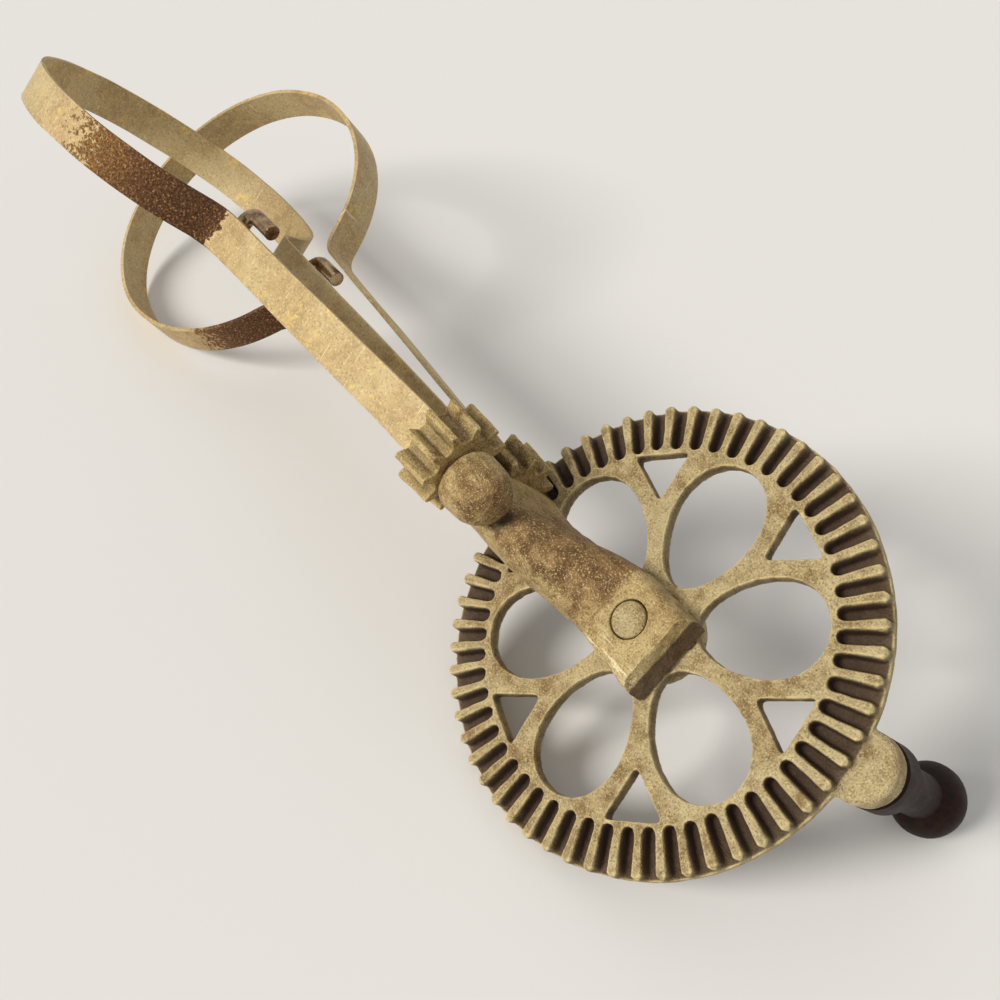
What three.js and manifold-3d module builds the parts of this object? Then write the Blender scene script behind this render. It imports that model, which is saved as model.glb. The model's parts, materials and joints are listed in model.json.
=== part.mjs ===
// Rotary egg beater in cast iron and tinned strip, with its top handle snapped off at the hub.
// Millimetres, +Z up. The beater lies on its knob and dashers, with its origin under its middle.
//
// Everything is modelled in the tool's own axes and laid down at the end: the origin is the middle of
// the drive wheel's toothed face, +Z runs along the wheel's axle towards the frame, and +X runs from
// the axle towards the dashers.
import * as THREE from 'three';
import { mergeVertices } from 'three/addons/utils/BufferGeometryUtils.js';
import { ConvexHull } from 'three/addons/math/ConvexHull.js';
import Module from 'manifold-3d';

const wasm = await Module();
wasm.setup();

// Clearances
const fitGap = 0.3; // between a piece and what it seats in or turns on
const overrun = 1; // how far a cutter passes the surface that it cuts

// Drive wheel: a face gear with petal and fork openings
const wheelRadius = 47;
const rimWidth = 9.8;
const rimDepth = 5.6;
const webDepth = 3.4;
const hubRadius = 9.4;
const hubDepth = 8.2;
const rimBevel = 0.7;
const wheelToothCount = 57;
const wheelToothLength = 9.6;
const wheelToothCrest = 1.1; // width at the inner end
const wheelToothBase = 2.2;
const wheelToothSpread = 0.7; // how much wider the teeth are at the rim
const wheelToothDepth = 3.3;
const toothMouth = 0.6; // how far the teeth's outer corners are rounded off
const spokeCount = 6;
const openingMargin = 0.7; // from the openings to the rim and to the hub
const spokeHalfWidth = 2.1; // between the middles of two petals
const petalEggShare = 0.17; // how much wider the petals are towards the rim
const forkInnerShare = 0.72; // of the radius of its outer side
const forkHalfWidthShare = 0.17;
const forkCorner = 1.5;
const firstSpokeAngle = THREE.MathUtils.degToRad(10.5);

// Boss on the back of the rim, with the crank knob and its pin
const bossSpoke = 3; // the boss is in line with this spoke, counted from the first
const bossRadius = 6.9;
const bossOverhang = 0.5; // from the wheel's edge to the boss's middle
const bossEnd = 10.2; // from the toothed face to the boss's end
const bossBevel = 0.8;
const knobBaseRadius = 6.9;
const knobBaseLength = 9;
const knobNeckRadius = 4.6;
const knobNeckLength = 21;
const knobBallRadius = 7.7;
const knobBevel = 0.9;
const knobPinRadius = 2;
const knobPinHeadRadius = 3.2;
const knobPinHeadDepth = 1.4;
const knobPinGrip = 5; // length of the pin inside the boss

// Main rivet, which is the wheel's axle
const rivetRadius = 3.7;
const rivetHeadRadius = 6.2;
const rivetHeadDepth = 2.6;

// Frame casting
const frameLift = 0.8; // from the wheel's toothed face to the underside of the frame
const padTop = 8.4;
const padEnd = 5.9;
const stubEnd = -9; // where the handle broke away
const stubHalfWidth = 8.8;
const armHalfWidth = 7.3;
const armSideShift = 3.2; // how far the arm bulges to one side
const humpTop = 20.6;
const noseRadius = 6.8;
const noseSideShift = 1;
const noseLength = 11.4;
const noseBevel = 1.6;
const noseGap = 0.8; // from the frame's nose to the pinions
const fractureDepth = 0.5;
const fractureLean = THREE.MathUtils.degToRad(14);

// Pinions and the two shafts that they turn on
const pinionToothCount = 11;
const pinionTip = 10.4;
const pinionRoot = 7.5;
const pinionLength = 9.4;
const pinionTaper = 0.4; // how much smaller the tip radius is at the frame end
const pinionTipWidth = 1.2;
const pinionRootWidth = 2.3;
const pinionFront = 48; // from the axle to the pinions' dasher faces
const meshDepth = 1.8; // how far the lower pinion's teeth dip below the wheel's toothed face
const shaftSpacing = 19.2; // between the shafts at the pinions' dasher faces
const shaftSplay = THREE.MathUtils.degToRad(3.5);
const shaftRadius = 2;
const shaftGrip = 8.4; // length of a shaft inside the frame
const shaftCollarRadius = 3;
const shaftCollarLength = 2;
const hookWireRadius = 1.9; // the wire is drawn a little thinner where it is bent
const hookBend = 2.9; // centre-line radius of the hook
const hookReturn = 7;
const restTurn = THREE.MathUtils.degToRad(7.5); // how far the dashers are turned from square

// Dashers: one strip each, bent into a ring on two legs
const stripWidth = 9.7;
const stripThickness = 1;
const ringRadius = 37.5;
const ringCentre = 120; // from the pinion's dasher face
const neckHalfGap = 9.2;
const legHalfGap = 4.6;
const neckBend = 4.5;
const tangLength = 5.5;
const tangWidth = 7;

// Fineness of the facets
const wheelSegments = wheelToothCount * 2;
const hubSegments = 40;
const knobSegments = 36;
const smallSegments = 20;
const petalSegments = 26;
const ringSegments = 56;
const bendSegments = 6;
const gapEndSegments = 4;

const castIron = metal(0x8d7d5c, 0.78, 0.55);
const wheelIron = metal(0x978866, 0.75, 0.55);
const pinionIron = metal(0x9a8a62, 0.72, 0.6);
const wornSteel = metal(0x8f8a72, 0.5, 0.85);
const wireSteel = metal(0x6b5646, 0.42, 0.85);
const tinnedStrip = metal(0xa39a78, 0.6, 0.7);
const turnedWood = new THREE.MeshStandardMaterial({ color: 0x2b1710, roughness: 0.55, metalness: 0 });
const woodWeightShare = 0.1; // of the metals' weight, for the way the beater lies

function metal(color, roughness, metalness) {
  return new THREE.MeshStandardMaterial({ color, roughness, metalness });
}

// Geometries to solids and back

// Calls visit with the three corners of each triangle.
function eachTriangle(geometry, visit) {
  const position = geometry.attributes.position;
  const index = geometry.index.array;
  const corners = [new THREE.Vector3(), new THREE.Vector3(), new THREE.Vector3()];
  for (let i = 0; i < index.length; i += 3) {
    corners.forEach((corner, k) => corner.fromBufferAttribute(position, index[i + k]));
    visit(...corners);
  }
}

// Six times the volume of the tetrahedron between the origin and a triangle, signed.
function sixfoldVolume(a, b, c) {
  return a.dot(new THREE.Vector3().crossVectors(b, c));
}

// Keeps only positions, joins equal vertices, drops empty triangles and turns the faces outwards.
function weld(geometry) {
  const bare = new THREE.BufferGeometry();
  bare.setAttribute('position', geometry.attributes.position.clone());
  bare.setIndex(geometry.index);
  const welded = mergeVertices(bare, 1e-4);
  const all = welded.index.array;
  const kept = [];
  for (let i = 0; i < all.length; i += 3) {
    const [a, b, c] = [all[i], all[i + 1], all[i + 2]];
    if (a !== b && b !== c && c !== a) kept.push(a, b, c);
  }
  welded.setIndex(kept);
  let volume = 0;
  eachTriangle(welded, (a, b, c) => {
    volume += sixfoldVolume(a, b, c);
  });
  if (volume < 0) welded.setIndex(kept.reverse());
  return welded;
}

function solid(geometry) {
  const welded = weld(geometry);
  const vertProperties = new Float32Array(welded.attributes.position.array);
  const triVerts = new Uint32Array(welded.index.array);
  return new wasm.Manifold(new wasm.Mesh({ numProp: 3, vertProperties, triVerts }));
}

function geometryOf(manifold) {
  const mesh = manifold.getMesh();
  const geometry = new THREE.BufferGeometry();
  geometry.setAttribute('position', new THREE.BufferAttribute(new Float32Array(mesh.vertProperties), 3));
  geometry.setIndex(new THREE.BufferAttribute(new Uint32Array(mesh.triVerts), 1));
  return weld(geometry);
}

function join(body, pieces) {
  return pieces.reduce((sum, piece) => sum.add(solid(piece)), body);
}

function cut(body, cutters) {
  return cutters.reduce((rest, cutter) => rest.subtract(solid(cutter)), body);
}

// A turned form stands on +Z, from a profile of [radius, height] points.
function turned(profile, segments) {
  const points = profile.map(([radius, height]) => new THREE.Vector2(radius, height));
  return new THREE.LatheGeometry(points, segments).rotateX(Math.PI / 2);
}

function cylinder(radius, from, to, segments) {
  return turned([[0, from], [radius, from], [radius, to], [0, to]], segments);
}

// Lays a form that stands on +Z along +X, which takes its own +X to -Z.
function alongX(geometry) {
  return geometry.rotateY(Math.PI / 2);
}

function box(low, high) {
  const size = high.map((value, i) => value - low[i]);
  const middle = high.map((value, i) => (value + low[i]) / 2);
  return new THREE.BoxGeometry(...size).translate(...middle);
}

function extruded(points, depth) {
  return new THREE.ExtrudeGeometry(new THREE.Shape(points), { depth, bevelEnabled: false });
}

function polar(radius, angle) {
  return new THREE.Vector2(radius * Math.cos(angle), radius * Math.sin(angle));
}

function named(name, geometry, material) {
  const mesh = new THREE.Mesh(geometry, material);
  mesh.name = name;
  return mesh;
}

// Drive wheel

const webRadius = wheelRadius - rimWidth;

// An egg-shaped opening, widest towards the rim.
function petalOutline() {
  const inner = hubRadius + openingMargin;
  const outer = webRadius - openingMargin;
  const middle = (inner + outer) / 2;
  const halfWidth = middle * Math.sin(Math.PI / spokeCount) - spokeHalfWidth;
  const points = [];
  for (let i = 0; i < petalSegments; i += 1) {
    const angle = (i / petalSegments) * 2 * Math.PI;
    const width = halfWidth * (1 + petalEggShare * Math.cos(angle));
    points.push(new THREE.Vector2(middle + (outer - middle) * Math.cos(angle), width * Math.sin(angle)));
  }
  return points;
}

// The opening in the fork of a spoke: a triangle with rounded corners, its point towards the hub.
function forkOutline() {
  const outer = webRadius - openingMargin;
  const corners = [
    new THREE.Vector2(outer * forkInnerShare, 0),
    new THREE.Vector2(outer, -outer * forkHalfWidthShare),
    new THREE.Vector2(outer, outer * forkHalfWidthShare),
  ];
  return corners.flatMap((corner, i) => {
    const start = corners.at(i - 1).clone().sub(corner).setLength(forkCorner).add(corner);
    const end = corners[(i + 1) % corners.length].clone().sub(corner).setLength(forkCorner).add(corner);
    return new THREE.QuadraticBezierCurve(start, corner, end).getPoints(3);
  });
}

// Heights on the teeth, from their foot to just above the crest, and the teeth's width there
// between crest and base.
const toothLevelShares = [
  { height: -1, width: 1 },
  { height: -0.17, width: 0.42 },
  { height: 0, width: 0 },
];

// Half of the gap between two teeth of the given width at their inner end, at a radius.
function halfGap(toothWidth, radius) {
  const inner = wheelRadius - wheelToothLength;
  const width = toothWidth + wheelToothSpread * ((radius - inner) / wheelToothLength);
  return radius * Math.tan(Math.PI / wheelToothCount) - width / 2;
}

// A level section of the gap between two teeth: wider at the rim, and round at its inner end.
function gapSection(toothWidth, height) {
  const outer = wheelRadius + overrun;
  const outerHalf = halfGap(toothWidth, outer);
  const endRadius = halfGap(toothWidth, wheelRadius - wheelToothLength);
  const endCentre = new THREE.Vector2(wheelRadius - wheelToothLength + endRadius, 0);
  const points = [new THREE.Vector2(outer, -outerHalf), new THREE.Vector2(outer, outerHalf)];
  for (let i = 0; i <= gapEndSegments; i += 1) {
    points.push(polar(endRadius, Math.PI / 2 + (i / gapEndSegments) * Math.PI).add(endCentre));
  }
  return points.map((point) => new THREE.Vector3(point.x, point.y, height));
}

function gapCutter() {
  const sections = toothLevelShares.map(({ height, width }) => gapSection(
    THREE.MathUtils.lerp(wheelToothCrest, wheelToothBase, width),
    wheelToothDepth * height,
  ));
  return loft([...sections, gapSection(wheelToothCrest, overrun)]);
}

// Widens the mouth of a gap, which rounds the teeth's outer corners off.
function mouthCutter() {
  const outer = wheelRadius + toothMouth;
  const half = halfGap(wheelToothCrest, wheelRadius) + 2 * toothMouth;
  const points = [[outer - half, 0], [outer, -half], [outer, half]];
  const wedge = extruded(points.map((point) => new THREE.Vector2(...point)), wheelToothDepth + overrun);
  return wedge.translate(0, 0, -wheelToothDepth);
}

// The boss's own axes: its origin in its end face and +Z out of it, away from the frame.
function bossPlace() {
  const place = new THREE.Group();
  const angle = firstSpokeAngle + (bossSpoke / spokeCount) * 2 * Math.PI;
  const foot = polar(wheelRadius + bossOverhang, angle);
  place.position.set(foot.x, foot.y, -bossEnd);
  place.rotation.x = Math.PI;
  place.updateMatrix();
  return place;
}

function bossForm() {
  const start = wheelToothDepth + fitGap - bossEnd;
  return turned([
    [0, start],
    [bossRadius - bossBevel, start],
    [bossRadius, start + bossBevel],
    [bossRadius, -bossBevel],
    [bossRadius - bossBevel, 0],
    [0, 0],
  ], knobSegments);
}

// Rim and web in one ring, reaching a little way into the hub.
function rimForm() {
  const inner = hubRadius - overrun;
  return turned([
    [inner, 0],
    [wheelRadius - rimBevel, 0],
    [wheelRadius, -rimBevel],
    [wheelRadius, rimBevel - rimDepth],
    [wheelRadius - rimBevel, -rimDepth],
    [webRadius + rimBevel, -rimDepth],
    [webRadius, -webDepth],
    [inner, -webDepth],
    [inner, 0],
  ], wheelSegments);
}

function hubForm() {
  const rise = frameLift - fitGap;
  return turned([
    [0, rise],
    [hubRadius - rise, rise],
    [hubRadius, 0],
    [hubRadius, rimBevel - hubDepth],
    [hubRadius - rimBevel, -hubDepth],
    [0, -hubDepth],
  ], hubSegments);
}

function driveWheel() {
  const matrix = bossPlace().matrix;
  const body = join(solid(rimForm()), [hubForm(), bossForm().applyMatrix4(matrix)]);
  const cutters = [];
  for (let i = 0; i < spokeCount; i += 1) {
    const spoke = firstSpokeAngle + (i / spokeCount) * 2 * Math.PI;
    const petalAngle = spoke + Math.PI / spokeCount;
    const depth = hubDepth + frameLift + 2 * overrun;
    cutters.push(extruded(petalOutline(), depth).rotateZ(petalAngle).translate(0, 0, -hubDepth - overrun));
    cutters.push(extruded(forkOutline(), depth).rotateZ(spoke).translate(0, 0, -hubDepth - overrun));
  }
  for (let i = 0; i < wheelToothCount; i += 1) {
    const angle = ((i + 0.5) / wheelToothCount) * 2 * Math.PI;
    cutters.push(gapCutter().rotateZ(angle), mouthCutter().rotateZ(angle));
  }
  cutters.push(cylinder(rivetRadius + fitGap, -hubDepth - overrun, frameLift + overrun, hubSegments));
  const pinBore = cylinder(knobPinRadius + fitGap, -knobPinGrip - fitGap, overrun, smallSegments);
  cutters.push(pinBore.applyMatrix4(matrix));
  return geometryOf(cut(body, cutters));
}

// Knob and pin, on the boss's axes

const knobLength = knobBaseLength + knobNeckLength + 2 * knobBallRadius;

// Round base, waisted neck and ball.
function knobProfile() {
  const ballCentre = knobLength - knobBallRadius;
  const neckAngle = -Math.acos(knobNeckRadius / knobBallRadius);
  const points = [[0, 0], [knobBaseRadius - knobBevel, 0], [knobBaseRadius, knobBevel],
    [knobBaseRadius, knobBaseLength - knobBevel], [knobBaseRadius - knobBevel, knobBaseLength]];
  const cove = new THREE.CubicBezierCurve(
    new THREE.Vector2(knobBaseRadius - knobBevel, knobBaseLength),
    new THREE.Vector2(knobNeckRadius, knobBaseLength),
    new THREE.Vector2(knobNeckRadius, knobBaseLength + knobNeckLength / 2),
    new THREE.Vector2(knobNeckRadius, ballCentre + knobBallRadius * Math.sin(neckAngle)),
  );
  points.push(...cove.getPoints(bendSegments).slice(1, -1).map((point) => point.toArray()));
  const ballSteps = 12;
  for (let i = 0; i <= ballSteps; i += 1) {
    const angle = THREE.MathUtils.lerp(neckAngle, Math.PI / 2, i / ballSteps);
    const point = polar(knobBallRadius, angle);
    points.push([i === ballSteps ? 0 : point.x, ballCentre + point.y]);
  }
  return points;
}

function crankKnob() {
  const bore = cylinder(knobPinRadius + fitGap, -overrun, knobLength + overrun, smallSegments);
  const recessFloor = knobLength - knobPinHeadDepth - 3 * fitGap;
  const recess = cylinder(knobPinHeadRadius + fitGap, recessFloor, knobLength + overrun, smallSegments);
  const knob = cut(solid(turned(knobProfile(), knobSegments)), [bore, recess]);
  return geometryOf(knob).translate(0, 0, fitGap);
}

function knobPin() {
  const head = fitGap + knobLength - knobPinHeadDepth - 2 * fitGap;
  return weld(turned([
    [0, -knobPinGrip],
    [knobPinRadius, -knobPinGrip],
    [knobPinRadius, head],
    [knobPinHeadRadius, head],
    [knobPinHeadRadius, head + knobPinHeadDepth / 2],
    [knobPinRadius, head + knobPinHeadDepth],
    [0, head + knobPinHeadDepth],
  ], smallSegments));
}

// Main rivet: hammered flush with the pad, with a low dome behind the wheel

function mainRivet() {
  const back = -hubDepth - fitGap;
  const domeSteps = 4;
  const points = [];
  for (let i = 0; i <= domeSteps; i += 1) {
    const point = polar(1, (i / domeSteps - 1) * (Math.PI / 2));
    points.push([i === 0 ? 0 : rivetHeadRadius * point.x, back + rivetHeadDepth * point.y]);
  }
  points.push([rivetRadius, back], [rivetRadius, padTop - fitGap]);
  points.push([rivetRadius - fitGap, padTop], [0, padTop]);
  return weld(turned(points, hubSegments));
}

// Shaft axes: the origin in the pinion's dasher face and +X along the shaft, towards the dasher

const lowerShaftHeight = pinionTip - meshDepth;
const noseFront = pinionFront - pinionLength - noseGap;

function shaftPlace(isUpper) {
  const place = new THREE.Group();
  place.position.set(pinionFront, 0, lowerShaftHeight + (isUpper ? shaftSpacing : 0));
  place.rotation.y = isUpper ? -shaftSplay : 0;
  place.updateMatrix();
  return place;
}

// Frame casting

// Sections of the arm from the broken end to the nose: the place along the arm, the height of the top
// between pad and hump, the half width between arm and stub, the shift to the side, and the power
// that squares the arch.
const armSectionShares = [
  { along: -0.03, top: 0.04, width: 1.35, side: 0.38, square: 5 },
  { along: 0.2, top: 0.04, width: 1.1, side: 0.18, square: 5 },
  { along: 0.312, top: 0.05, width: 0.9, side: 0.08, square: 5.5 },
  { along: 0.38, top: 0.22, width: 0.8, side: 0.18, square: 3.4 },
  { along: 0.46, top: 0.4, width: 0.6, side: 0.38, square: 2.9 },
  { along: 0.54, top: 0.64, width: 0.35, side: 0.62, square: 2.6 },
  { along: 0.62, top: 0.86, width: 0.15, side: 0.84, square: 2.5 },
  { along: 0.71, top: 1, width: 0, side: 1, square: 2.4 },
  { along: 0.79, top: 1.02, width: 0, side: 1.06, square: 2.4 },
  { along: 0.86, top: 1.12, width: 0, side: 1, square: 2.5 },
  { along: 0.93, top: 1.3, width: -0.1, side: 0.82, square: 2.8 },
  { along: 1, top: 1.42, width: -0.4, side: 0.7, square: 3 },
];
const archSteps = 16;

// A flat-bottomed arch across the arm, from one bottom corner over the top to the other.
function archSection(x, side, halfWidth, top, square) {
  const points = [];
  for (let i = 0; i <= archSteps; i += 1) {
    const unit = polar(1, (i / archSteps) * Math.PI);
    const y = side + halfWidth * Math.sign(unit.x) * Math.abs(unit.x) ** (2 / square);
    const z = frameLift + (top - frameLift) * Math.abs(unit.y) ** (2 / square);
    points.push(new THREE.Vector3(x, y, z));
  }
  return points;
}

// A closed form through sections that all have the same number of points.
function loft(sections) {
  const count = sections[0].length;
  const index = [];
  for (let row = 0; row + 1 < sections.length; row += 1) {
    for (let i = 0; i < count; i += 1) {
      const [here, next] = [row * count + i, row * count + ((i + 1) % count)];
      index.push(here, next, next + count, here, next + count, here + count);
    }
  }
  const last = (sections.length - 1) * count;
  for (let i = 1; i + 1 < count; i += 1) {
    index.push(0, i + 1, i, last, last + i, last + i + 1);
  }
  const geometry = new THREE.BufferGeometry();
  const positions = sections.flat().flatMap((point) => point.toArray());
  geometry.setAttribute('position', new THREE.Float32BufferAttribute(positions, 3));
  geometry.setIndex(index);
  return geometry;
}

function armForm() {
  return loft(armSectionShares.map((share) => {
    const x = THREE.MathUtils.lerp(stubEnd, noseFront + overrun, share.along);
    const top = THREE.MathUtils.lerp(padTop, humpTop, share.top);
    const halfWidth = THREE.MathUtils.lerp(armHalfWidth, stubHalfWidth, share.width);
    return archSection(x, armSideShift * share.side, halfWidth, top, share.square);
  }));
}

// The profile of the nose's blunt back, from its middle outwards.
const noseBackShares = [
  { radius: 0, along: 0 },
  { radius: 0.42, along: 0.03 },
  { radius: 0.68, along: 0.11 },
  { radius: 0.87, along: 0.25 },
  { radius: 0.97, along: 0.42 },
  { radius: 1, along: 0.6 },
];

// The round boss that holds the upper shaft.
function noseBoss() {
  const front = noseFront - pinionFront;
  const back = front - noseLength;
  const points = noseBackShares.map(({ radius, along }) => [noseRadius * radius, back + noseLength * along]);
  const shoulder = noseRadius - noseBevel;
  points.push([noseRadius, front - noseBevel]);
  points.push([shoulder + noseBevel * Math.SQRT1_2, front - noseBevel * (1 - Math.SQRT1_2)]);
  points.push([shoulder, front], [0, front]);
  const boss = alongX(turned(points, smallSegments)).translate(0, noseSideShift, 0);
  return boss.applyMatrix4(shaftPlace(true).matrix);
}

// The rough face of the break, as the near side of a cutter.
function fractureCutter() {
  const [columns, rows] = [12, 6];
  const height = padTop + 2 * overrun;
  const width = 2 * (stubHalfWidth + 2 * overrun);
  const cutter = new THREE.BoxGeometry(4 * overrun, width, height, 1, columns, rows);
  const position = cutter.attributes.position;
  for (let i = 0; i < position.count; i += 1) {
    if (position.getX(i) > 0) {
      const column = Math.round((position.getY(i) / width) * columns);
      const row = Math.round((position.getZ(i) / height) * rows);
      const rough = Math.sin(column * 2.7 + row * 1.3) + Math.sin(column * 1.1 - row * 4.1);
      position.setX(i, 2 * overrun + (fractureDepth * rough) / 4);
    }
  }
  const middle = (padTop + frameLift) / 2;
  return cutter.rotateY(fractureLean).translate(stubEnd - 2 * overrun, 0, middle);
}

function shaftBore(isUpper) {
  const front = noseFront - pinionFront;
  const bore = cylinder(shaftRadius + fitGap, front - shaftGrip - fitGap, front + overrun, smallSegments);
  return alongX(bore).applyMatrix4(shaftPlace(isUpper).matrix);
}

function frameCasting() {
  const side = 2 * stubHalfWidth;
  const abovePad = box([stubEnd - overrun, -side, padTop], [padEnd, side, 2 * humpTop]);
  const beyondNose = box([noseFront, -side, -overrun], [pinionFront, side, 2 * humpTop]);
  const rivetBore = cylinder(rivetRadius + fitGap, -overrun, padTop + overrun, hubSegments);
  const body = join(solid(armForm()), [noseBoss()]);
  return geometryOf(cut(body,
    [abovePad, beyondNose, fractureCutter(), rivetBore, shaftBore(false), shaftBore(true)]));
}

// Pinions: a tooth points along +Z and a gap along -Z, and each end of the strip has a slot

function pinionOutline() {
  const middle = (pinionTip + pinionRoot) / 2;
  const tipHalf = pinionTipWidth / pinionTip / 2;
  const rootHalf = pinionRootWidth / pinionRoot / 2;
  const flank = [[pinionRoot, rootHalf], [middle, (tipHalf + rootHalf) / 2], [pinionTip, tipHalf]];
  const points = [];
  for (let i = 0; i < pinionToothCount; i += 1) {
    const centre = Math.PI + (i / pinionToothCount) * 2 * Math.PI;
    points.push(...flank.map(([radius, half]) => polar(radius, centre - half)));
    points.push(...flank.toReversed().map(([radius, half]) => polar(radius, centre + half)));
  }
  return points;
}

// The slots lie across the shaft's Z for the upper pinion and across its Y for the lower one.
function pinion(isUpper) {
  const gear = extruded(pinionOutline(), pinionLength);
  const position = gear.attributes.position;
  for (let i = 0; i < position.count; i += 1) {
    const share = 1 - (pinionTaper / pinionTip) * (1 - position.getZ(i) / pinionLength);
    position.setXY(i, position.getX(i) * share, position.getY(i) * share);
  }
  const cutters = [cylinder(shaftRadius + fitGap, -overrun, pinionLength + overrun, smallSegments)];
  const halfSlot = stripThickness / 2 + fitGap;
  const halfTang = tangWidth / 2 + fitGap;
  const floor = pinionLength - tangLength - fitGap;
  for (const place of [-legHalfGap, legHalfGap]) {
    const far = [place + halfSlot, halfTang, pinionLength + overrun];
    const slot = box([place - halfSlot, -halfTang, floor], far);
    cutters.push(slot.rotateZ(isUpper ? 0 : Math.PI / 2));
  }
  return alongX(geometryOf(cut(solid(gear), cutters)).translate(0, 0, -pinionLength));
}

// Shaft wires: held in the frame, upset into a collar in front of the pinion and hooked at the neck

const neckPlace = ringCentre - Math.sqrt(ringRadius ** 2 - neckHalfGap ** 2);

function hookPath(start) {
  const path = new THREE.CurvePath();
  const bendEnd = new THREE.Vector3(start, -2 * hookBend, 0);
  const pull = (hookBend * 4) / 3;
  path.add(new THREE.LineCurve3(new THREE.Vector3(start - overrun, 0, 0), new THREE.Vector3(start, 0, 0)));
  path.add(new THREE.CubicBezierCurve3(new THREE.Vector3(start, 0, 0), new THREE.Vector3(start + pull, 0, 0),
    new THREE.Vector3(start + pull, bendEnd.y, 0), bendEnd));
  path.add(new THREE.LineCurve3(bendEnd, bendEnd.clone().setX(start - hookReturn)));
  return path;
}

function shaftWire() {
  const back = noseFront - pinionFront - shaftGrip;
  const hookStart = neckPlace - fitGap;
  const collarEnd = fitGap + shaftCollarLength;
  const straight = turned([
    [0, back],
    [shaftRadius, back],
    [shaftRadius, fitGap],
    [shaftCollarRadius, fitGap],
    [shaftCollarRadius, collarEnd],
    [shaftRadius, collarEnd + shaftCollarRadius - shaftRadius],
    [shaftRadius, hookStart],
    [0, hookStart],
  ], smallSegments);
  const section = [];
  for (let i = 0; i < smallSegments; i += 1) {
    section.push(polar(hookWireRadius, (i / smallSegments) * 2 * Math.PI));
  }
  const options = { steps: 20, extrudePath: hookPath(hookStart) };
  const hook = new THREE.ExtrudeGeometry(new THREE.Shape(section), options);
  return geometryOf(join(solid(alongX(straight)), [hook]));
}

// Dashers

// The strip's middle line on one side, from its end in the pinion round to the tip of the ring.
function dasherMidline() {
  const face = new THREE.Vector2(0, legHalfGap);
  const neck = new THREE.Vector2(neckPlace, neckHalfGap);
  const legEnd = face.clone().sub(neck).setLength(neckBend).add(neck);
  const ringStart = Math.PI - Math.asin(neckHalfGap / ringRadius) - neckBend / ringRadius;
  const onRing = (angle) => polar(ringRadius, angle).add(new THREE.Vector2(ringCentre, 0));
  const points = [new THREE.Vector2(-tangLength, legHalfGap), face];
  points.push(...new THREE.QuadraticBezierCurve(legEnd, neck, onRing(ringStart)).getPoints(bendSegments));
  for (let i = 1; i <= ringSegments / 2; i += 1) {
    points.push(onRing(ringStart * (1 - (2 * i) / ringSegments)));
  }
  return points;
}

// The outline of a band of even thickness along a middle line.
function bandOutline(line, thickness) {
  const edge = (offset) => line.map((point, i) => {
    const before = line[Math.max(i - 1, 0)];
    const after = line[Math.min(i + 1, line.length - 1)];
    const across = after.clone().sub(before).rotateAround(new THREE.Vector2(), Math.PI / 2);
    return across.setLength(Math.abs(offset)).multiplyScalar(Math.sign(offset)).add(point);
  });
  return [...edge(thickness / 2), ...edge(-thickness / 2).reverse()];
}

function dasher() {
  const half = dasherMidline();
  const mirrored = half.slice(0, -1).reverse().map((point) => new THREE.Vector2(point.x, -point.y));
  const outline = bandOutline([...half, ...mirrored], stripThickness);
  const strip = extruded(outline, stripWidth).translate(0, 0, -stripWidth / 2);
  // The strip is narrowed to its tangs behind the pinion's face.
  const tangEnd = -tangLength - overrun;
  const edge = stripWidth / 2 + overrun;
  const shoulders = [
    box([tangEnd, -ringRadius, -edge], [fitGap, ringRadius, -tangWidth / 2]),
    box([tangEnd, -ringRadius, tangWidth / 2], [fitGap, ringRadius, edge]),
  ];
  return geometryOf(cut(solid(strip), shoulders));
}

// The tool in its own axes

function wheelGroup() {
  const boss = bossPlace();
  boss.add(named('crank_knob', crankKnob(), turnedWood), named('knob_pin', knobPin(), wornSteel));
  const group = new THREE.Group();
  group.add(named('drive_wheel', driveWheel(), wheelIron), boss);
  group.rotation.z = restTurn * (pinionToothCount / wheelToothCount);
  return group;
}

// A shaft with its pinion and dasher, which turn on it together.
function dasherGroup(isUpper) {
  const name = isUpper ? 'upper' : 'lower';
  const strip = named(`${name}_dasher`, dasher(), tinnedStrip);
  strip.rotation.x = isUpper ? Math.PI / 2 : 0;
  const turning = new THREE.Group();
  turning.add(named(`${name}_pinion`, pinion(isUpper), pinionIron), strip);
  turning.rotation.x = isUpper ? -restTurn : restTurn;
  const group = shaftPlace(isUpper);
  group.add(turning, named(`${name}_shaft`, shaftWire(), wireSteel));
  return group;
}

function tool() {
  const group = new THREE.Group();
  group.add(named('frame_casting', frameCasting(), castIron), named('main_rivet', mainRivet(), wornSteel));
  group.add(wheelGroup(), dasherGroup(false), dasherGroup(true));
  return group;
}

// Laying the tool down on the side away from its frame

// All corners of the tool, and its centre of mass.
function weigh(group) {
  group.updateMatrixWorld(true);
  const corners = [];
  const centre = new THREE.Vector3();
  let total = 0;
  group.traverse((mesh) => {
    if (!mesh.isMesh) return;
    const density = mesh.material === turnedWood ? woodWeightShare : 1;
    eachTriangle(mesh.geometry.clone().applyMatrix4(mesh.matrixWorld), (a, b, c) => {
      const weight = sixfoldVolume(a, b, c) * density;
      total += weight;
      corners.push(a.clone());
      centre.addScaledVector(a.clone().add(b).add(c), weight / 4);
    });
  });
  return { corners, centre: centre.divideScalar(total) };
}

// Of the sides of the hull that the tool can lie on, the outward normal nearest to the wheel's back.
function restingNormal(group) {
  const { corners, centre } = weigh(group);
  const hull = new ConvexHull().setFromPoints(corners);
  let best = null;
  for (const face of hull.faces) {
    const triangle = new THREE.Triangle(
      face.getEdge(0).head().point,
      face.getEdge(1).head().point,
      face.getEdge(2).head().point,
    );
    const foot = centre.clone().addScaledVector(face.normal, -face.distanceToPoint(centre));
    if (triangle.containsPoint(foot) && (best === null || face.normal.z < best.z)) best = face.normal;
  }
  return best;
}

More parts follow.
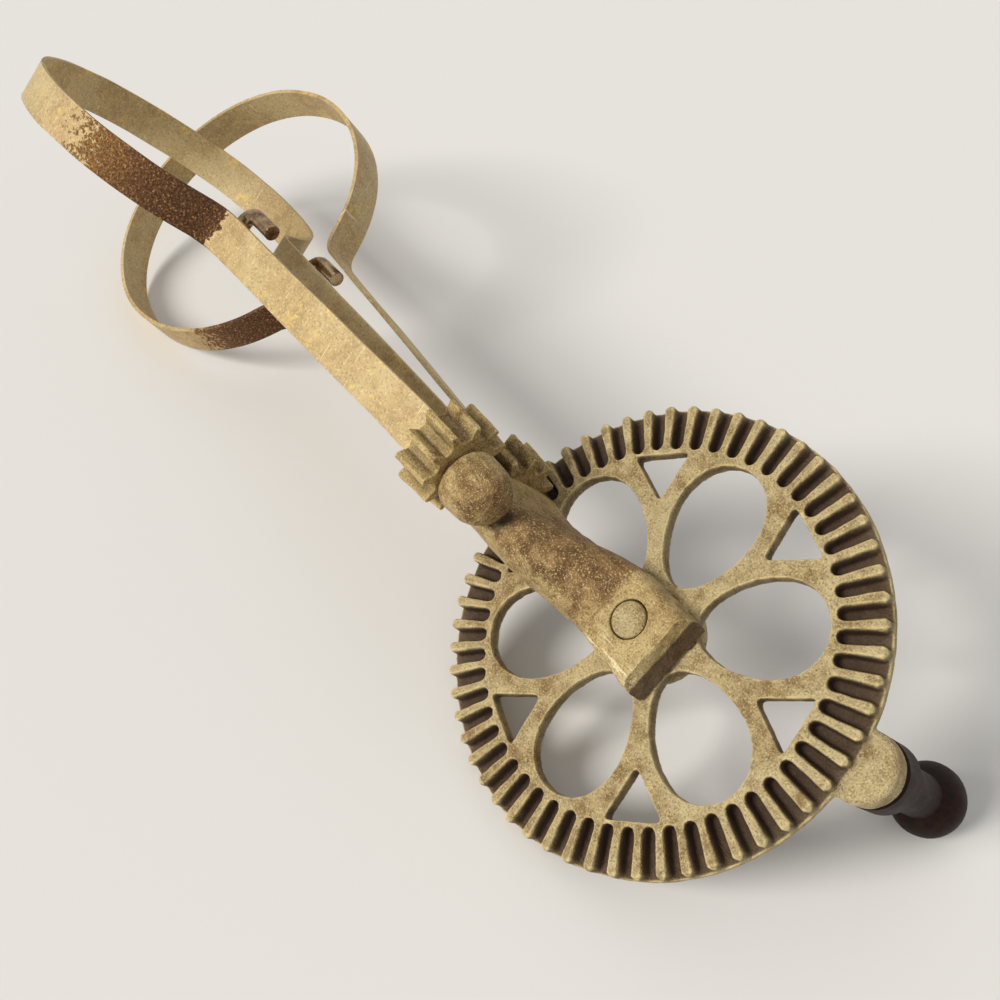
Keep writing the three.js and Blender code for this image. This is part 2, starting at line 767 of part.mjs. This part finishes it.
function laidDown(group) {
  const level = new THREE.Quaternion().setFromUnitVectors(restingNormal(group), new THREE.Vector3(0, 0, -1));
  const forward = new THREE.Vector3(1, 0, 0).applyQuaternion(level);
  const turn = new THREE.Quaternion().setFromAxisAngle(
    new THREE.Vector3(0, 0, 1),
    -Math.atan2(forward.y, forward.x),
  );
  group.quaternion.copy(turn.multiply(level));
  const bounds = new THREE.Box3().setFromObject(group, true);
  const middle = bounds.getCenter(new THREE.Vector3());
  group.position.set(-middle.x, -middle.y, -bounds.min.z);
  const laid = new THREE.Group();
  laid.add(group);
  return laid;
}

export default laidDown(tool());
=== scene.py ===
"""An old hand-cranked rotary egg beater: pitted cast iron, tinned steel strip and brown wire.

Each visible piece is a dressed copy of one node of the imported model. The castings get softened
edges and a sand-cast skin, the strips get rolled edges and a slight sway, and all metal is worn
and stained. Lengths are in metres, mostly written as millimetres times MM.
"""

import json
import math

import bmesh
import bpy
import numpy
from mathutils import Matrix, Vector, noise


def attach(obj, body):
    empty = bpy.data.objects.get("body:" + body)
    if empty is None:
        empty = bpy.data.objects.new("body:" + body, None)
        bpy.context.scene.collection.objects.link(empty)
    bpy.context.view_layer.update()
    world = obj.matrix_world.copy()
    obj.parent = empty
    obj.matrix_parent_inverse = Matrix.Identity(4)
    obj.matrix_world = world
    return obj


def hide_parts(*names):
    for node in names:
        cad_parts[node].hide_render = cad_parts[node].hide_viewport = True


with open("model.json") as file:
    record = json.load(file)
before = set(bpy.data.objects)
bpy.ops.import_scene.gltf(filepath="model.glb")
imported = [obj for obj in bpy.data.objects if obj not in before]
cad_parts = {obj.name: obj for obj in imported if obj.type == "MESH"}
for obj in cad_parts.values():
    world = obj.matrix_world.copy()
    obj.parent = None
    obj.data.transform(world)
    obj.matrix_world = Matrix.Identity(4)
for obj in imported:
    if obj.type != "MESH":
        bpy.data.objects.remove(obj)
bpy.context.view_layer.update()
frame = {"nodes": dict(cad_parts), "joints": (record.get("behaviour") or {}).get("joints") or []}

MM = 0.001
noise.seed_set(1)  # noise vectors are offset by this seed, or else by the clock


def joint(name):
    return next(j for j in frame["joints"] if j["name"] == name)


# The tool's own axes: from the middle of the wheel's face, FORWARD points to the dashers, AXLE
# from the wheel to the frame, and SIDEWAYS across both
HUB = Vector(joint("wheel_spin")["pos_m"])
AXLE = Vector(joint("wheel_spin")["axis"]).normalized()
FORWARD = Vector(joint("lower_spin")["axis"]).normalized()
SIDEWAYS = AXLE.cross(FORWARD)


def in_tool(x, y, z):
    """A direction given along the tool's own axes."""
    return FORWARD * x + SIDEWAYS * y + AXLE * z


# Camera, fitted to the photograph: the rows say how much of FORWARD, SIDEWAYS and AXLE lies along
# the picture's right, along its downward direction and away from the camera
CAMERA_ROWS = (
    (-0.547, -0.5823, 0.6014),
    (-0.6491, 0.7487, 0.1345),
    (-0.5286, -0.3168, -0.7875),
)
CAMERA_SHIFT_MM = (28.648, 25.209, 252.742)  # the hub, along the camera's right, down and forward
FOCAL_PIXELS = 1300
FRAME_PIXELS = 1000
SENSOR_WIDTH = 36
NEAREST_SEEN = 10 * MM


def make_camera():
    """Adds the camera, and returns the picture's right and downward directions."""
    right, down, forward = (in_tool(*column).normalized() for column in zip(*CAMERA_ROWS))
    across, below, away = (value * MM for value in CAMERA_SHIFT_MM)
    place = HUB - right * across - down * below - forward * away
    data = bpy.data.cameras.new("camera")
    data.sensor_width = SENSOR_WIDTH
    data.lens = FOCAL_PIXELS / FRAME_PIXELS * SENSOR_WIDTH
    data.clip_start = NEAREST_SEEN
    camera = bpy.data.objects.new("camera", data)
    turn = Matrix((right, -down, -forward)).transposed()
    camera.matrix_world = Matrix.Translation(place) @ turn.to_4x4()
    bpy.context.scene.collection.objects.link(camera)
    bpy.context.scene.camera = camera
    return right, down


# Shader building


def srgb(red, green, blue):
    """A colour written as on screen, from 0 to 255, as the linear values that a shader takes."""
    return tuple(
        (v / 255 / 12.92) if v / 255 <= 0.04045 else ((v / 255 + 0.055) / 1.055) ** 2.4
        for v in (red, green, blue)
    ) + (1.0,)


class Shader:
    """A material under construction, with short calls for the nodes that it needs."""

    def __init__(self, name):
        self.material = bpy.data.materials.new(name)
        self.material.use_nodes = True
        self.tree = self.material.node_tree
        self.surface = self.tree.nodes["Principled BSDF"]
        self.place = self.node("ShaderNodeTexCoord").outputs["Object"]

    def node(self, kind, inputs=None, **settings):
        made = self.tree.nodes.new(kind)
        for name, value in settings.items():
            setattr(made, name, value)
        for name, value in (inputs or {}).items():
            self.put(made.inputs[name], value)
        return made

    def put(self, socket, value):
        if isinstance(value, bpy.types.NodeSocket):
            self.tree.links.new(value, socket)
        else:
            socket.default_value = value

    def noise(self, scale, detail=4, roughness=0.6, place=None):
        """Noise with a scale given in waves per metre."""
        inputs = {"Vector": place or self.place, "Scale": scale, "Detail": detail,
                  "Roughness": roughness}
        return self.node("ShaderNodeTexNoise", inputs).outputs["Fac"]

    def ramp(self, value, low, high, start=0.0, end=1.0):
        """Goes smoothly from start to end as the value goes from low to high."""
        inputs = {"Value": value, "From Min": low, "From Max": high, "To Min": start, "To Max": end}
        made = self.node("ShaderNodeMapRange", inputs, interpolation_type="SMOOTHSTEP")
        return made.outputs["Result"]

    def math(self, operation, a, b):
        return self.node("ShaderNodeMath", {0: a, 1: b}, operation=operation).outputs["Value"]

    def vector(self, operation, a, b):
        return self.node("ShaderNodeVectorMath", {0: a, 1: b}, operation=operation)

    def mix(self, share, a, b):
        made = self.node("ShaderNodeMix", data_type="RGBA")
        self.put(made.inputs["Factor"], share)
        self.put(made.inputs["A"], a)
        self.put(made.inputs["B"], b)
        return made.outputs["Result"]

    def all_of(self, *shares):
        product = shares[0]
        for share in shares[1:]:
            product = self.math("MULTIPLY", product, share)
        return product

    def along_tool(self, scale):
        """Places turned into the tool's own axes and scaled, for streaks along one of them."""
        rows = (FORWARD * scale[0], SIDEWAYS * scale[1], AXLE * scale[2])
        parts = [self.vector("DOT_PRODUCT", self.place, tuple(row)) for row in rows]
        inputs = {name: part.outputs["Value"] for name, part in zip("XYZ", parts)}
        return self.node("ShaderNodeCombineXYZ", inputs).outputs["Vector"]

    def along(self, axis):
        """How many millimetres a place lies from the hub along an axis."""
        away = self.vector("SUBTRACT", self.place, tuple(HUB)).outputs["Vector"]
        return self.vector("DOT_PRODUCT", away, tuple(axis / MM)).outputs["Value"]

    def worn(self):
        """How far the surface stands out from its surroundings, in millimetres."""
        return self.node("ShaderNodeAttribute", attribute_name="worn").outputs["Fac"]

    def open_sky(self, reach):
        """1 in the open, and less where the piece itself hides part of the sky."""
        return self.node("ShaderNodeAmbientOcclusion", {"Distance": reach}, samples=6,
                         only_local=True).outputs["AO"]

    def bump(self, height, depth, below=None):
        inputs = {"Height": height, "Distance": depth}
        if below is not None:
            inputs["Normal"] = below
        return self.node("ShaderNodeBump", inputs).outputs["Normal"]

    def finish(self, **sockets):
        for name, value in sockets.items():
            self.put(self.surface.inputs[name.replace("_", " ")], value)
        return self.material


# Materials: the two limits of a ramp over noise say how much of a surface it takes and how hard
# the border is. Limits named with MM are millimetres from the hub, along an axis of the tool.

NOISE_SPAN = (0.3, 0.7)  # where nearly all values of a noise lie
EVEN_SHARES = (0.36, 0.62)  # limits that divide a surface about evenly

FRAME_COLOURS = (srgb(140, 110, 64), srgb(184, 158, 106), srgb(204, 182, 128))
WHEEL_COLOURS = (srgb(136, 111, 69), srgb(178, 157, 112), srgb(200, 183, 139))
PINION_COLOURS = (srgb(130, 98, 52), srgb(184, 156, 100), srgb(208, 184, 126))
RIVET_COLOURS = (srgb(140, 118, 76), srgb(174, 154, 110), srgb(194, 176, 132))
IRON_PIT = srgb(84, 58, 32)
IRON_GRAIN = srgb(222, 204, 146)
IRON_EDGE = srgb(228, 208, 150)
IRON_DIRT = srgb(66, 42, 23)
# painted shade, darkening the deep hollows
IRON_PAINTED_SHADE = srgb(50, 31, 18)
EDGE_PROUD_MM = (0.03, 0.13)  # how far a bare edge stands out
DIRT_SUNK_MM = (-0.03, -0.16)  # and how far a dirty spot does
# how near the piece must hide the sky for the painted shade to fall
PAINTED_SHADE_REACH = 4.5 * MM
PAINTED_SHADE_SKY = (0.82, 0.42)  # share of the sky in sight within that reach


def iron_mottle(s):
    return s.noise(330, detail=6, roughness=0.66)


def iron_sand(s):
    return s.noise(2700, detail=3, roughness=0.62)


def cast_iron(name, colours, marks=None, last_marks=None):
    """Old sand-cast iron: khaki, gritty and pitted, with dirt in small dents, painted shade in deep
    hollows and bright worn edges.

    The colours are a dark and a middle one for the mottling, and a pale one for wide patches.
    Marks lie beneath the grit, the wear, the dirt and the painted shade, and last marks on top of
    them.
    """
    dark, middle, pale = colours
    s = Shader(name)
    mottle, sand, worn = iron_mottle(s), iron_sand(s), s.worn()
    colour = s.mix(s.ramp(mottle, *EVEN_SHARES), dark, middle)
    colour = s.mix(s.ramp(s.noise(75), 0.42, 0.64, end=0.6), colour, pale)
    if marks:
        colour = marks(s, colour)
    colour = s.mix(s.ramp(sand, 0.47, 0.35, end=0.6), colour, IRON_PIT)
    colour = s.mix(s.ramp(sand, 0.55, 0.66, end=0.7), colour, IRON_GRAIN)
    bright = s.all_of(s.ramp(worn, *EDGE_PROUD_MM), s.ramp(mottle, 0.32, 0.56, 0.35, 0.95))
    colour = s.mix(bright, colour, IRON_EDGE)
    colour = s.mix(s.ramp(worn, *DIRT_SUNK_MM, end=0.7), colour, IRON_DIRT)
    # painted shade: darker where the piece itself hides much of the sky nearby
    painted_shade = s.ramp(s.open_sky(PAINTED_SHADE_REACH), *PAINTED_SHADE_SKY, end=0.9)
    colour = s.mix(painted_shade, colour, IRON_PAINTED_SHADE)
    if last_marks:
        colour = last_marks(s, colour)
    normal = s.bump(s.ramp(mottle, 0.2, 0.8), 0.26 * MM)
    normal = s.bump(sand, 0.34 * MM, normal)
    roughness = s.ramp(mottle, *NOISE_SPAN, 0.8, 0.56)
    return s.finish(Base_Color=colour, Roughness=roughness, Metallic=0.2, Normal=normal)


# the arm's browns are partly rust and partly painted shade, and the arm turns paler towards +Y as
# painted light
ARM_RUST_AND_SHADE_BROWNS = (srgb(92, 61, 30), srgb(142, 106, 60))
ARM_BROWN_START_MM = (5.6, 6.4)
ARM_BROWN_END_MM = (37, 25)
ARM_LIT_SIDE_MM = (8.5, 1.5)
ARM_BROWN_RAGGED_MM = (-3, 3)
SCRATCH_COLOUR = srgb(236, 222, 178)
SCRATCH_END_MM = (6, 4)
SCRATCH_SIDE_MM = (3.5, 7.5)


def frame_marks(s, colour):
    """The arm, browner partly from rust and partly as painted shade, and paler on its +Y side as
    painted light; and the scratches beside the rivet.
    """
    forward, sideways, mottle = s.along(FORWARD), s.along(SIDEWAYS), iron_mottle(s)
    ragged = s.math("ADD", sideways, s.ramp(mottle, *NOISE_SPAN, *ARM_BROWN_RAGGED_MM))
    # partly rust, partly painted shade, with painted light paling the +Y side
    brown = s.all_of(
        s.ramp(forward, *ARM_BROWN_START_MM),
        s.ramp(forward, *ARM_BROWN_END_MM),
        s.ramp(ragged, *ARM_LIT_SIDE_MM, 0.25, 0.9),
    )
    colour = s.mix(brown, colour, s.mix(s.ramp(mottle, *EVEN_SHARES), *ARM_RUST_AND_SHADE_BROWNS))
    scratches = s.noise(1500, detail=3, roughness=0.7, place=s.along_tool((0.07, 1, 1)))
    beside = s.all_of(
        s.ramp(forward, *SCRATCH_END_MM),
        s.ramp(sideways, *SCRATCH_SIDE_MM),
        s.ramp(scratches, 0.5, 0.6),
    )
    return s.mix(beside, colour, SCRATCH_COLOUR)


# rust-brown, darkened further as painted shade
BREAK_RUST_AND_SHADE = (srgb(48, 29, 17), srgb(92, 62, 36))
BREAK_PLACE_MM = (-8.45, -8.75)
BREAK_HEIGHT_MM = 4.6
BREAK_LEAN = 0.25


def frame_break(s, colour):
    """The dark break at the end of the pad: rust-brown, and darkened further as painted shade."""
    height = s.math("SUBTRACT", s.along(AXLE), BREAK_HEIGHT_MM)
    leaning = s.math("ADD", s.along(FORWARD), s.math("MULTIPLY", height, BREAK_LEAN))
    broken = s.ramp(leaning, *BREAK_PLACE_MM, end=0.9)
    # painted shade over the rust of the break
    return s.mix(broken, colour, s.mix(s.ramp(iron_sand(s), 0.35, 0.65), *BREAK_RUST_AND_SHADE))


# painted shade for the wheel's tooth gaps and the walls of its openings
WHEEL_PAINTED_SHADE = srgb(58, 36, 20)
GAP_INNER_RADIUS_MM = (37.2, 37.9)
GAP_OUTER_RADIUS_MM = (46.9, 46.4)
GAP_DEPTH_MM = (-0.7, -2.1)
WALL_TOP_MM = (-0.5, -1.3)
WALL_FOOT_MM = (-3.3, -2.4)


def wheel_painted_shade(s, colour):
    """Painted shade: darker in the gaps between the wheel's teeth and on the walls of its openings.
    """
    up = s.along(AXLE)
    squares = [s.math("MULTIPLY", away, away) for away in (s.along(FORWARD), s.along(SIDEWAYS))]
    radius = s.math("POWER", s.math("ADD", *squares), 0.5)
    gaps = s.all_of(
        s.ramp(radius, *GAP_INNER_RADIUS_MM),
        s.ramp(radius, *GAP_OUTER_RADIUS_MM),
        s.ramp(up, *GAP_DEPTH_MM, end=0.75),
    )
    walls = s.all_of(s.ramp(up, *WALL_TOP_MM), s.ramp(up, *WALL_FOOT_MM), 0.45)
    # painted shade, darkening the gaps and walls where shade falls
    return s.mix(s.math("MAXIMUM", gaps, walls), colour, WHEEL_PAINTED_SHADE)


TIN_COLOURS = (srgb(166, 140, 94), srgb(188, 162, 112))
TIN_PATCH = srgb(198, 178, 132)
TIN_PIT = srgb(126, 98, 54)
TIN_GRAIN = srgb(224, 206, 156)
TIN_FLAKE = srgb(226, 192, 100)
TIN_SCRATCH = srgb(234, 216, 168)
TIN_STREAK = srgb(126, 100, 60)
OLD_RUST = (srgb(66, 38, 18), srgb(112, 74, 37))
NEW_RUST = (srgb(112, 74, 34), srgb(168, 122, 64))
RUST_SPECK = srgb(196, 152, 86)
RUST_STAIN = srgb(166, 124, 68)
RUST_START_MM = (126.8, 129.6)
RUST_WORST_MM = 134
RUST_NEW_MM = 152
RUST_RAGGED_MM = (-1.8, 1.8)
RUST_BORDER_MM = 3


def tinned_strip(name, side, side_start, rust_end):
    """Thin tinned strip: pale, scratched and stained, and rusty on one side of the ring's neck.

    Rust starts at side_start along the axis called side, and ends at rust_end along the tool, both
    in millimetres from the hub.
    """
    s = Shader(name)
    mottle = s.noise(260, detail=7, roughness=0.68)
    grains = s.noise(1900, detail=3, roughness=0.65)
    coarse = s.noise(900, detail=4, roughness=0.7)
    spots = s.noise(115, detail=6, roughness=0.7)
    across = s.noise(520, detail=3, roughness=0.75, place=s.along_tool((2.4, 0.12, 0.12)))
    lengthways = s.noise(1100, detail=3, roughness=0.7, place=s.along_tool((0.04, 1, 1)))
    colour = s.mix(s.ramp(mottle, *EVEN_SHARES), *TIN_COLOURS)
    colour = s.mix(s.ramp(s.noise(55, detail=5), 0.44, 0.6, end=0.6), colour, TIN_PATCH)
    colour = s.mix(s.ramp(grains, 0.45, 0.33, end=0.65), colour, TIN_PIT)
    colour = s.mix(s.ramp(grains, 0.56, 0.66, end=0.6), colour, TIN_GRAIN)
    flakes = s.all_of(s.ramp(spots, 0.56, 0.64), s.ramp(coarse, 0.44, 0.56), 0.8)
    colour = s.mix(flakes, colour, TIN_FLAKE)
    colour = s.mix(s.ramp(across, 0.66, 0.7, end=0.8), colour, TIN_SCRATCH)
    colour = s.mix(s.ramp(lengthways, 0.64, 0.72, end=0.3), colour, TIN_STREAK)

    forward = s.math("ADD", s.along(FORWARD), s.ramp(mottle, *NOISE_SPAN, *RUST_RAGGED_MM))
    near = s.all_of(
        s.ramp(forward, *RUST_START_MM),
        s.ramp(forward, rust_end, RUST_WORST_MM),
        s.ramp(s.along(side), side_start, side_start + RUST_BORDER_MM),
    )
    covered = s.math("ADD", s.ramp(near, 0, 1, -0.15, 1), s.ramp(coarse, *NOISE_SPAN))
    rust = s.ramp(covered, 0.78, 1.12)
    old, new = (s.mix(s.ramp(grains, 0.4, 0.6), *pair) for pair in (OLD_RUST, NEW_RUST))
    rust_colour = s.mix(s.ramp(forward, RUST_WORST_MM, RUST_NEW_MM), old, new)
    rust_colour = s.mix(s.ramp(grains, 0.6, 0.68), rust_colour, RUST_SPECK)
    colour = s.mix(s.math("MULTIPLY", near, 0.5), colour, RUST_STAIN)
    colour = s.mix(rust, colour, rust_colour)

    normal = s.bump(mottle, 0.03 * MM)
    normal = s.bump(across, 0.05 * MM, normal)
    rough_skin = s.math("MULTIPLY", s.math("ADD", rust, 0.1), grains)
    normal = s.bump(rough_skin, 0.4 * MM, normal)
    smooth_part = s.ramp(mottle, *NOISE_SPAN, 0.5, 0.64)
    roughness = s.math("ADD", smooth_part, s.math("MULTIPLY", rust, 0.28))
    return s.finish(Base_Color=colour, Roughness=roughness, Metallic=0.16, Normal=normal)


WIRE_COLOURS = (srgb(98, 68, 46), srgb(152, 122, 90))
WIRE_RUBBED = srgb(206, 184, 148)
WIRE_PIT = srgb(64, 42, 28)


def brown_wire(name):
    """Smooth drawn wire with a brown patina, rubbed bright in patches."""
    s = Shader(name)
    mottle = s.noise(500, detail=7, roughness=0.7)
    grit = s.noise(1600, detail=4, roughness=0.7)
    colour = s.mix(s.ramp(mottle, 0.35, 0.65), *WIRE_COLOURS)
    colour = s.mix(s.ramp(s.noise(110), 0.48, 0.64, end=0.65), colour, WIRE_RUBBED)
    colour = s.mix(s.ramp(grit, 0.42, 0.32, end=0.5), colour, WIRE_PIT)
    normal = s.bump(mottle, 0.06 * MM)
    normal = s.bump(grit, 0.03 * MM, normal)
    roughness = s.ramp(mottle, *NOISE_SPAN, 0.18, 0.36)
    return s.finish(Base_Color=colour, Roughness=roughness, Metallic=0.85, Normal=normal)


WOOD_COLOURS = (srgb(15, 6, 4), srgb(38, 16, 9))
WOOD_PATCH = srgb(52, 26, 15)
WOOD_RUBBED = srgb(82, 48, 28)
WOOD_STRETCH = 0.9  # how far the grain is drawn out, where 1 is without end


def dark_wood(name):
    """Dark turned wood with a worn finish: grain along the knob and rubbed rims."""
    s = Shader(name)
    axis = Vector(joint("knob_spin")["axis"])
    along = s.vector("DOT_PRODUCT", s.place, tuple(axis)).outputs["Value"]
    inputs = {0: tuple(axis * WOOD_STRETCH), "Scale": along}
    drawn = s.node("ShaderNodeVectorMath", inputs, operation="SCALE").outputs["Vector"]
    place = s.vector("SUBTRACT", s.place, drawn).outputs["Vector"]
    grain = s.noise(1100, detail=6, roughness=0.65, place=place)
    patches = s.noise(140)
    colour = s.mix(s.ramp(grain, 0.36, 0.64), *WOOD_COLOURS)
    colour = s.mix(s.ramp(patches, 0.5, 0.68, end=0.45), colour, WOOD_PATCH)
    curve = s.node("ShaderNodeNewGeometry").outputs["Pointiness"]
    uneven = s.ramp(s.noise(900, detail=2), 0.4, 0.6, 0.2, 0.7)
    rubbed = s.math("MULTIPLY", s.ramp(curve, 0.52, 0.6), uneven)
    colour = s.mix(rubbed, colour, WOOD_RUBBED)
    normal = s.bump(grain, 0.14 * MM)
    roughness = s.ramp(patches, *NOISE_SPAN, 0.46, 0.62)
    return s.finish(Base_Color=colour, Roughness=roughness, Specular_IOR_Level=0.12, Normal=normal)


# Dressed copies of the nodes

SAME_PLACE = 0.001 * MM
SAME_PLANE = math.radians(1)
WEAR_ROUNDS = 14  # rounds of smoothing that show what stands out from its surroundings
SMOOTH_FACTOR = 0.5
BEVEL_SEGMENTS = 2
BEVEL_ANGLE = 30  # degrees
STRIP_EDGE = 0.2 * MM
STRIP_BEVEL_ANGLE = 50
STRIP_DIVISIONS = 2
CAST_WAVES = ((7 * MM, 0.14 * MM), (2.4 * MM, 0.1 * MM))  # length and height of the lumps
STRIP_WAVES = ((34 * MM, 0.5 * MM), (11 * MM, 0.12 * MM))  # and of the sway


def join_flat_faces(mesh):
    """Joins corners that share a place, and triangles that share a plane."""
    work = bmesh.new()
    work.from_mesh(mesh)
    bmesh.ops.remove_doubles(work, verts=work.verts, dist=SAME_PLACE)
    bmesh.ops.join_triangles(
        work, faces=work.faces, angle_face_threshold=SAME_PLANE, angle_shape_threshold=math.pi
    )
    work.to_mesh(mesh)
    work.free()


def dressed(node_name, body, material):
    """A copy of a node that stands for it, to be given edges and a skin."""
    piece = bpy.data.objects.new(f"{node_name}_dressed", frame["nodes"][node_name].data.copy())
    join_flat_faces(piece.data)
    bpy.context.scene.collection.objects.link(piece)
    piece.data.materials.clear()
    piece.data.materials.append(material)
    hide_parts(node_name)
    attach(piece, body)
    return piece


def places_of(mesh):
    places = numpy.empty(len(mesh.vertices) * 3, numpy.float32)
    mesh.vertices.foreach_get("co", places)
    return places.reshape(-1, 3)


def mesh_box(mesh):
    places = places_of(mesh)
    return places.min(axis=0), places.max(axis=0)


def shade_smooth(mesh):
    mesh.polygons.foreach_set("use_smooth", [True] * len(mesh.polygons))


def apply_modifiers(piece):
    graph = bpy.context.evaluated_depsgraph_get()
    mesh = bpy.data.meshes.new_from_object(piece.evaluated_get(graph))
    piece.modifiers.clear()
    piece.data = mesh
    shade_smooth(mesh)


def move_vertices(mesh, shift, box):
    """Moves each vertex by what shift gives for its place and normal, and keeps it in the box."""
    moved = [vertex.co + shift(vertex.co, vertex.normal) for vertex in mesh.vertices]
    kept = numpy.clip(numpy.array(moved, numpy.float32), *box)
    mesh.vertices.foreach_set("co", kept.ravel())
    mesh.update()


def add_smoothing(piece, rounds):
    smooth = piece.modifiers.new("smooth", "SMOOTH")
    smooth.factor = SMOOTH_FACTOR
    smooth.iterations = rounds
    return smooth


def add_bevel(piece, width, least_angle=BEVEL_ANGLE):
    bevel = piece.modifiers.new("bevel", "BEVEL")
    bevel.width = width
    bevel.segments = BEVEL_SEGMENTS
    bevel.limit_method = "ANGLE"
    bevel.angle_limit = math.radians(least_angle)


def mark_wear(piece):
    """Stores how far each vertex stands out from its surroundings, in millimetres."""
    mesh = piece.data
    level_out = add_smoothing(piece, WEAR_ROUNDS)
    graph = bpy.context.evaluated_depsgraph_get()
    level = places_of(piece.evaluated_get(graph).data)
    piece.modifiers.remove(level_out)
    normals = numpy.empty(len(mesh.vertices) * 3, numpy.float32)
    mesh.vertex_normals.foreach_get("vector", normals)
    proud = ((places_of(mesh) - level) * normals.reshape(-1, 3)).sum(axis=1) / MM
    mesh.attributes.new("worn", "FLOAT", "POINT").data.foreach_set("value", proud)


def give_cast_skin(piece, voxel, rounds):
    """Rounds all edges as sand casting does, marks what is worn, and adds lumps."""
    box = mesh_box(piece.data)
    remesh = piece.modifiers.new("remesh", "REMESH")
    remesh.mode = "VOXEL"
    remesh.voxel_size = voxel
    add_smoothing(piece, rounds)
    apply_modifiers(piece)
    mark_wear(piece)

    def lumps(place, normal):
        return normal * sum(height * noise.noise(place / wave) for wave, height in CAST_WAVES)

    move_vertices(piece.data, lumps, box)


def give_rolled_edges(piece, width):
    """Small round edges on a machined or turned piece."""
    add_bevel(piece, width)
    piece.modifiers.new("normals", "WEIGHTED_NORMAL")
    shade_smooth(piece.data)


def give_strip_sway(piece):
    """Rolled edges on a strip, and the slight sway that use has given it."""
    box = mesh_box(piece.data)
    add_bevel(piece, STRIP_EDGE, STRIP_BEVEL_ANGLE)
    finer = piece.modifiers.new("finer", "SUBSURF")
    finer.levels = finer.render_levels = STRIP_DIVISIONS
    apply_modifiers(piece)

    def sway(place, _normal):
        shifts = (noise.noise_vector(place / wave) * height for wave, height in STRIP_WAVES)
        return sum(shifts, Vector())

    move_vertices(piece.data, sway, box)


# The beater

FRAME_VOXEL = 0.27 * MM
WHEEL_VOXEL = 0.3 * MM
PINION_VOXEL = 0.22 * MM
RIVET_EDGE = 0.25 * MM
KNOB_EDGE = 0.3 * MM
WIRE_EDGE = 0.2 * MM


def make_beater():
    frame_iron = cast_iron("frame_iron", FRAME_COLOURS, frame_marks, frame_break)
    wheel_iron = cast_iron("wheel_iron", WHEEL_COLOURS, last_marks=wheel_painted_shade)
    pinion_iron = cast_iron("pinion_iron", PINION_COLOURS)
    rivet_iron = cast_iron("rivet_iron", RIVET_COLOURS)
    strips = {
        "lower": tinned_strip("lower_strip", SIDEWAYS, side_start=1, rust_end=152),
        "upper": tinned_strip("upper_strip", AXLE, side_start=32, rust_end=166),
    }
    wire = brown_wire("brown_wire")
    wood = dark_wood("dark_wood")

    casting = dressed("frame_casting", "frame", frame_iron)
    give_cast_skin(casting, FRAME_VOXEL, rounds=4)
    wheel = dressed("drive_wheel", "wheel", wheel_iron)
    give_cast_skin(wheel, WHEEL_VOXEL, rounds=3)
    give_rolled_edges(dressed("main_rivet", "frame", rivet_iron), RIVET_EDGE)
    give_rolled_edges(dressed("knob_pin", "wheel", rivet_iron), RIVET_EDGE)
    give_rolled_edges(dressed("crank_knob", "knob", wood), KNOB_EDGE)
    for side, strip in strips.items():
        pinion = dressed(f"{side}_pinion", f"{side}_beater", pinion_iron)
        give_cast_skin(pinion, PINION_VOXEL, rounds=4)
        give_strip_sway(dressed(f"{side}_dasher", f"{side}_beater", strip))
        give_rolled_edges(dressed(f"{side}_shaft", "frame", wire), WIRE_EDGE)


# Floor, lamps and world

FLOOR_SIZE = 6
FLOOR_COLOUR = (0.8, 0.79, 0.77, 1)
FLOOR_ROUGHNESS = 0.9
# For each sun, its width in degrees, strength and colour, and its direction along the picture's
# right and downward directions, both laid level, and upwards
SUNS = {
    "key": (22, 2.9, (1.0, 0.97, 0.92), (0.75, -0.35, -0.6)),
    "fill": (110, 0.8, (1.0, 0.99, 0.97), (-0.2, 0, -1)),
}
WORLD_COLOUR = (1.0, 0.985, 0.96, 1)
WORLD_LIGHT = 0.18
WORLD_SEEN = 0.7


def make_floor():
    s = Shader("pale_floor")
    s.finish(Base_Color=FLOOR_COLOUR, Roughness=FLOOR_ROUGHNESS)
    bpy.ops.mesh.primitive_plane_add(size=FLOOR_SIZE)
    floor = bpy.context.object
    floor.name = "floor"
    floor.data.materials.append(s.material)


def make_suns(right, down):
    """A soft sun from the picture's lower left, and a very wide fill from above."""
    level_right, level_down = (Vector((way.x, way.y, 0)).normalized() for way in (right, down))
    for name, (width, strength, colour, (across, below, up)) in SUNS.items():
        towards = level_right * across + level_down * below + Vector((0, 0, up))
        data = bpy.data.lights.new(name, "SUN")
        data.angle = math.radians(width)
        data.energy = strength
        data.color = colour
        lamp = bpy.data.objects.new(name, data)
        lamp.rotation_mode = "QUATERNION"
        lamp.rotation_quaternion = towards.to_track_quat("-Z", "Y")
        bpy.context.scene.collection.objects.link(lamp)


def make_world():
    """A dim studio that the camera, gloss and glass see as pale."""
    world = bpy.data.worlds.new("studio")
    world.use_nodes = True
    tree = world.node_tree
    background = tree.nodes["Background"]
    background.inputs["Color"].default_value = WORLD_COLOUR
    path = tree.nodes.new("ShaderNodeLightPath")
    seen = path.outputs["Is Camera Ray"]
    for name in ("Is Glossy Ray", "Is Transmission Ray"):
        larger = tree.nodes.new("ShaderNodeMath")
        larger.operation = "MAXIMUM"
        tree.links.new(seen, larger.inputs[0])
        tree.links.new(path.outputs[name], larger.inputs[1])
        seen = larger.outputs["Value"]
    strength = tree.nodes.new("ShaderNodeMapRange")
    strength.inputs["To Min"].default_value = WORLD_LIGHT
    strength.inputs["To Max"].default_value = WORLD_SEEN
    tree.links.new(seen, strength.inputs["Value"])
    tree.links.new(strength.outputs["Result"], background.inputs["Strength"])
    bpy.context.scene.world = world


make_beater()
make_floor()
make_suns(*make_camera())
make_world()
bpy.context.scene.view_settings.view_transform = "Standard"
